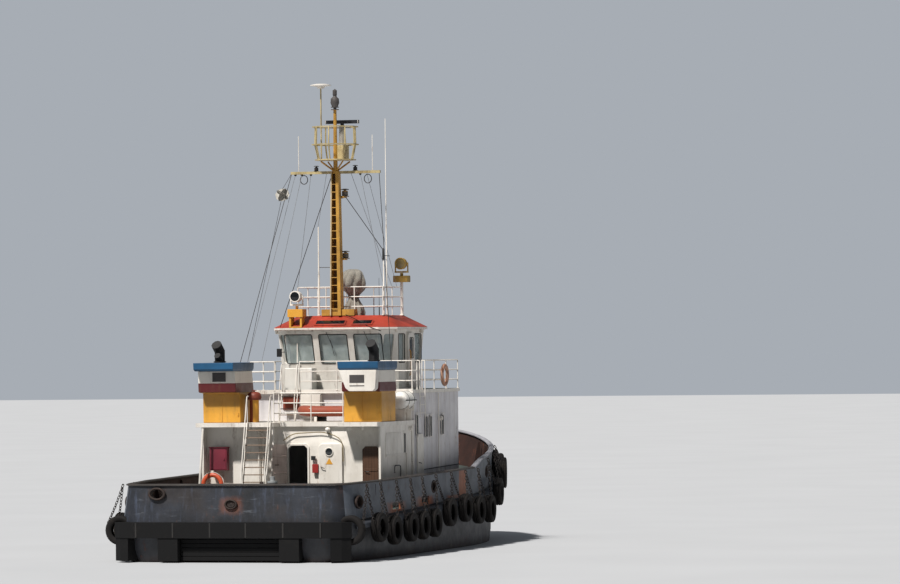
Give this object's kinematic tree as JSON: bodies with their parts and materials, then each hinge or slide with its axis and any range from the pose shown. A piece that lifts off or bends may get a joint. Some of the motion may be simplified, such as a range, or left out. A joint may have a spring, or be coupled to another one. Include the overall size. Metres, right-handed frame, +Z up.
{
  "type": "harbour tugboat",
  "caption": "Harbour tug with a wide flat stern, azimuth thrusters, tyre fenders, funnels far aft, a wheelhouse with leaning ends and a tall signal mast.",
  "frame": {"origin": "on the centreline at the waterline, amidships between the transom and the bow", "axes": "+X towards the bow, +Y to port, +Z up"},
  "size_m": [26.02, 10.036, 21.035],
  "materials": {
    "hull_paint": "worn blue-grey hull paint with rust",
    "bottom_paint": "matte dark bottom paint",
    "white_paint": "semi-gloss white paint, weathered",
    "red_paint": "semi-gloss orange-red paint",
    "yellow_paint": "semi-gloss ochre yellow paint",
    "blue_paint": "semi-gloss blue paint",
    "black_paint": "sooty black paint",
    "bare_steel": "worn grey steel",
    "fender_rubber": "weathered black rubber",
    "window_glass": "clear window glass",
    "varnished_wood": "varnished hardwood planks",
    "orange_fabric": "coated orange boat fabric",
    "canvas": "weathered grey-beige canvas",
    "white_plastic": "glossy white moulded resin",
    "bronze": "dull propeller bronze"
  },
  "bodies": {
    "tug": {"hull_aft": "hull_paint", "hull_mid": "hull_paint", "hull_bow": "hull_paint", "skeg": "bottom_paint", "bulwark": "hull_paint", "bulwark_rail": "hull_paint", "stern_fender": "fender_rubber", "tyre_fender_starboard": "fender_rubber", "tyre_fender_port": "fender_rubber", "engines": "bare_steel", "aft_house": "white_paint", "boat_deck": "white_paint", "fore_house": "white_paint", "bridge_deck": "white_paint", "wheelhouse": "white_paint", "wheelhouse_glass": "window_glass", "wheelhouse_roof": "red_paint", "helm_console": "black_paint", "funnel_port": "yellow_paint", "funnel_starboard": "yellow_paint", "funnel_cap_port": "blue_paint", "funnel_cap_starboard": "blue_paint", "exhausts_port": "black_paint", "exhausts_starboard": "black_paint", "vent_housing": "white_paint", "mast": "yellow_paint", "mast_basket": "yellow_paint", "boat_deck_stair": "white_paint", "boat_deck_rail": "white_paint", "bridge_deck_rail": "white_paint", "roof_rail": "white_paint", "searchlight_bracket": "yellow_paint", "covered_monitor": "canvas", "winch_frame": "bare_steel", "bow_bitts": "black_paint", "tow_post": "bare_steel", "dinghy": "orange_fabric", "life_raft": "white_plastic", "deck_locker": "white_plastic"},
    "thruster_port_body": {"thruster_port": "bottom_paint"},
    "thruster_starboard_body": {"thruster_starboard": "bottom_paint"},
    "propeller_port_body": {"propeller_port": "bronze"},
    "propeller_starboard_body": {"propeller_starboard": "bronze"},
    "aft_door_body": {"aft_door": "white_paint"},
    "store_door_body": {"store_door": "white_paint"},
    "teak_door_body": {"teak_door": "varnished_wood"},
    "side_door_port_body": {"side_door_port": "white_paint"},
    "side_door_starboard_body": {"side_door_starboard": "white_paint"},
    "bridge_door_port_body": {"bridge_door_port": "white_paint"},
    "bridge_door_starboard_body": {"bridge_door_starboard": "white_paint"},
    "radar_body": {"radar_scanner": "black_paint"},
    "searchlight_port_body": {"searchlight_port": "white_paint"},
    "searchlight_starboard_body": {"searchlight_starboard": "yellow_paint"},
    "winch_drum_body": {"winch_drum": "bare_steel"},
    "tow_hook_body": {"tow_hook": "bare_steel"}
  },
  "joints": [
    {"name": "thruster_port_steer", "type": "hinge", "parent": "tug", "child": "thruster_port_body", "pos_m": [-10.2, 2.1, -3], "axis": [0, 0, 1], "continuous": true},
    {"name": "thruster_starboard_steer", "type": "hinge", "parent": "tug", "child": "thruster_starboard_body", "pos_m": [-10.2, -2.1, -3], "axis": [0, 0, 1], "continuous": true},
    {"name": "propeller_port_spin", "type": "hinge", "parent": "thruster_port_body", "child": "propeller_port_body", "pos_m": [-10.54, 2.1, -3], "axis": [1, 0, 0], "continuous": true},
    {"name": "propeller_starboard_spin", "type": "hinge", "parent": "thruster_starboard_body", "child": "propeller_starboard_body", "pos_m": [-10.54, -2.1, -3], "axis": [1, 0, 0], "continuous": true},
    {"name": "aft_door_hinge", "type": "hinge", "parent": "tug", "child": "aft_door_body", "pos_m": [-6.415, 0.255, 2.9], "axis": [0, 0, 1], "range_deg": [0, 112]},
    {"name": "store_door_hinge", "type": "hinge", "parent": "tug", "child": "store_door_body", "pos_m": [-6.415, -1.835, 2.9], "axis": [0, 0, 1], "range_deg": [0, 110]},
    {"name": "teak_door_hinge", "type": "hinge", "parent": "tug", "child": "teak_door_body", "pos_m": [-6.415, -3.225, 2.9], "axis": [0, 0, 1], "range_deg": [0, 95]},
    {"name": "side_door_port_hinge", "type": "hinge", "parent": "tug", "child": "side_door_port_body", "pos_m": [-1.755, 3.475, 3.1], "axis": [0, 0, -1], "range_deg": [0, 110]},
    {"name": "side_door_starboard_hinge", "type": "hinge", "parent": "tug", "child": "side_door_starboard_body", "pos_m": [-1.755, -3.475, 3.1], "axis": [0, 0, 1], "range_deg": [0, 110]},
    {"name": "bridge_door_port_hinge", "type": "hinge", "parent": "tug", "child": "bridge_door_port_body", "pos_m": [0.86, 2.365, 6.9], "axis": [0, 0, -1], "range_deg": [0, 100]},
    {"name": "bridge_door_starboard_hinge", "type": "hinge", "parent": "tug", "child": "bridge_door_starboard_body", "pos_m": [0.86, -2.365, 6.9], "axis": [0, 0, 1], "range_deg": [0, 100]},
    {"name": "radar_spin", "type": "hinge", "parent": "tug", "child": "radar_body", "pos_m": [-0.3, 0, 15.57], "axis": [0, 0, 1], "continuous": true},
    {"name": "searchlight_port_pan", "type": "hinge", "parent": "tug", "child": "searchlight_port_body", "pos_m": [-1.72, 1.36, 9.1], "axis": [0, 0, 1], "range_deg": [-170, 170]},
    {"name": "searchlight_starboard_pan", "type": "hinge", "parent": "tug", "child": "searchlight_starboard_body", "pos_m": [1.61, -1.64, 10.1], "axis": [0, 0, 1], "range_deg": [-170, 170]},
    {"name": "winch_drum_turn", "type": "hinge", "parent": "tug", "child": "winch_drum_body", "pos_m": [6.3, 0, 2.95], "axis": [0, 1, 0], "continuous": true},
    {"name": "tow_hook_swing", "type": "hinge", "parent": "tug", "child": "tow_hook_body", "pos_m": [-8.7, 0, 2.48], "axis": [0, 0, 1], "range_deg": [-80, 80]}
  ]
}
